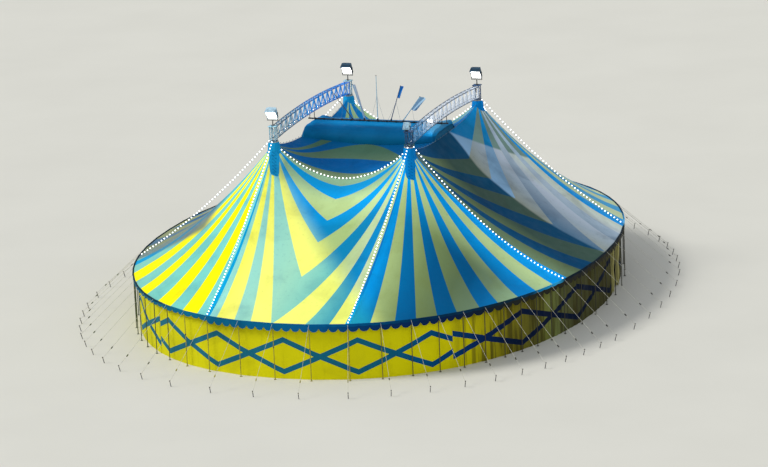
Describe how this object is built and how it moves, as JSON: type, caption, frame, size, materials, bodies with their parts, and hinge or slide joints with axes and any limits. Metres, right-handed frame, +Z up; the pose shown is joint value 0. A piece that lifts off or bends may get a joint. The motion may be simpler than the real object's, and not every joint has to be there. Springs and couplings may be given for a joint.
{
  "type": "circus big top tent, scale model at 1:2",
  "caption": "Four-mast circus big top with a striped canopy, raised cupola hood, arched trusses, scalloped rim, round wall and guy ropes.",
  "frame": {"origin": "on the ground under the middle of the tent", "axes": "+Z up, the front (an end with the saddle between two masts) faces -Y, the arched trusses run along Y at the left and right"},
  "size_m": [21.0498, 26.2574, 8.15],
  "materials": {
    "canopy_cloth": "striped coated canvas, blue and yellow",
    "hood_cloth": "coated canvas, deep blue",
    "wall_cloth": "coated canvas, yellow with a blue zigzag band",
    "valance_cloth": "coated canvas, blue, scalloped",
    "net_mesh": "open ventilation mesh",
    "mast_steel": "painted lattice steel",
    "truss_aluminium": "satin lattice truss",
    "lamp_housing": "dark floodlight housing",
    "light_cable": "cable of white bulbs",
    "rigging": "rim poles, guy ropes and stakes"
  },
  "bodies": {
    "root": {"arch_left": "truss_aluminium", "arch_right": "truss_aluminium", "canopy_back_left": "canopy_cloth", "canopy_back_right": "canopy_cloth", "canopy_front_left": "canopy_cloth", "canopy_front_right": "canopy_cloth", "crown_back": "canopy_cloth", "crown_front": "canopy_cloth", "cupola_hood": "hood_cloth", "cupola_net_left": "net_mesh", "cupola_net_right": "net_mesh", "entrance_curtain_back": "wall_cloth", "entrance_curtain_front": "wall_cloth", "floodlight_back_left": "lamp_housing", "floodlight_back_right": "lamp_housing", "floodlight_front_left": "lamp_housing", "floodlight_front_right": "lamp_housing", "lights_back_left": "light_cable", "lights_back_right": "light_cable", "lights_front_left": "light_cable", "lights_front_right": "light_cable", "lights_ridge_left": "light_cable", "lights_ridge_right": "light_cable", "lights_saddle_back": "light_cable", "lights_saddle_front": "light_cable", "mast_back_left": "mast_steel", "mast_back_right": "mast_steel", "mast_front_left": "mast_steel", "mast_front_right": "mast_steel", "ridge_beam": "mast_steel", "rim_rigging_back_left_end": "rigging", "rim_rigging_back_left_side": "rigging", "rim_rigging_back_right_end": "rigging", "rim_rigging_back_right_side": "rigging", "rim_rigging_front_left_end": "rigging", "rim_rigging_front_left_side": "rigging", "rim_rigging_front_right_end": "rigging", "rim_rigging_front_right_side": "rigging", "valance_back_left": "valance_cloth", "valance_back_right": "valance_cloth", "valance_front_left": "valance_cloth", "valance_front_right": "valance_cloth", "wall_back_left": "wall_cloth", "wall_back_right": "wall_cloth", "wall_front_left": "wall_cloth", "wall_front_right": "wall_cloth"}
  },
  "joints": []
}
